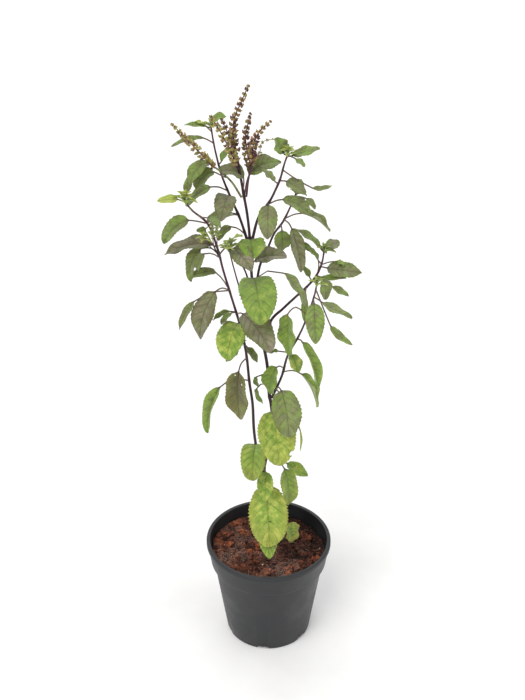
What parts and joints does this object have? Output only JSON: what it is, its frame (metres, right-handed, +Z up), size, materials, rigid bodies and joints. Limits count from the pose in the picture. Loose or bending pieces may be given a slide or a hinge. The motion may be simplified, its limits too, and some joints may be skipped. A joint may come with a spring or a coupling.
{
  "type": "potted holy basil",
  "caption": "Tall branched holy basil in flower, with purple stems, drooping serrate leaves and dark flower spikes, growing in soil in a round black nursery pot.",
  "frame": {"origin": "middle of the pot's foot, on the surface it stands on", "axes": "+Z up along the stem; -Y to the front, where the lowest large leaves hang over the soil"},
  "size_m": [0.1793, 0.13, 0.5953],
  "materials": {
    "pot_plastic": "fine moulded matte black",
    "soil": "moist crumbled red earth and coco fibre",
    "stem": "dark purple, faintly downy",
    "flower_spike": "dry papery calyces, purple brown to straw",
    "leaf_lower": "soft yellow-green leaf",
    "leaf_middle": "soft green leaf, some with a mauve cast",
    "leaf_upper": "soft olive leaf with a mauve grey cast"
  },
  "bodies": {
    "root": {"pot": "pot_plastic", "soil": "soil", "stem_main": "stem", "stem_left": "stem", "branch_right_low": "stem", "branch_right_mid": "stem", "branch_left_mid": "stem", "branch_left_inner": "stem", "branch_right_high": "stem", "branch_left_top": "stem", "branch_right_top": "stem", "spike_centre": "flower_spike", "spike_right": "flower_spike", "spike_dense": "flower_spike", "spike_bent": "flower_spike", "spike_purple": "flower_spike", "spike_left": "flower_spike", "leaf_01": "leaf_lower", "leaf_02": "leaf_lower", "leaf_03": "leaf_lower", "leaf_04": "leaf_lower", "leaf_05": "leaf_lower", "leaf_06": "leaf_lower", "leaf_07": "leaf_lower", "leaf_08": "leaf_middle", "leaf_09": "leaf_middle", "leaf_10": "leaf_middle", "leaf_11": "leaf_middle", "leaf_12": "leaf_middle", "leaf_13": "leaf_middle", "leaf_14": "leaf_upper", "leaf_15": "leaf_upper", "leaf_16": "leaf_upper", "leaf_17": "leaf_middle", "leaf_18": "leaf_middle", "leaf_19": "leaf_middle", "leaf_20": "leaf_middle", "leaf_21": "leaf_middle", "leaf_22": "leaf_middle", "leaf_23": "leaf_middle", "leaf_24": "leaf_middle", "leaf_25": "leaf_middle", "leaf_26": "leaf_middle", "leaf_27": "leaf_middle", "leaf_28": "leaf_middle", "leaf_29": "leaf_middle", "leaf_30": "leaf_upper", "leaf_31": "leaf_upper", "leaf_32": "leaf_upper", "leaf_33": "leaf_upper", "leaf_34": "leaf_upper", "leaf_35": "leaf_upper", "leaf_36": "leaf_upper", "leaf_37": "leaf_upper", "leaf_38": "leaf_upper", "leaf_39": "leaf_upper", "leaf_40": "leaf_upper", "leaf_41": "leaf_upper", "leaf_42": "leaf_upper", "leaf_43": "leaf_upper"}
  },
  "joints": []
}
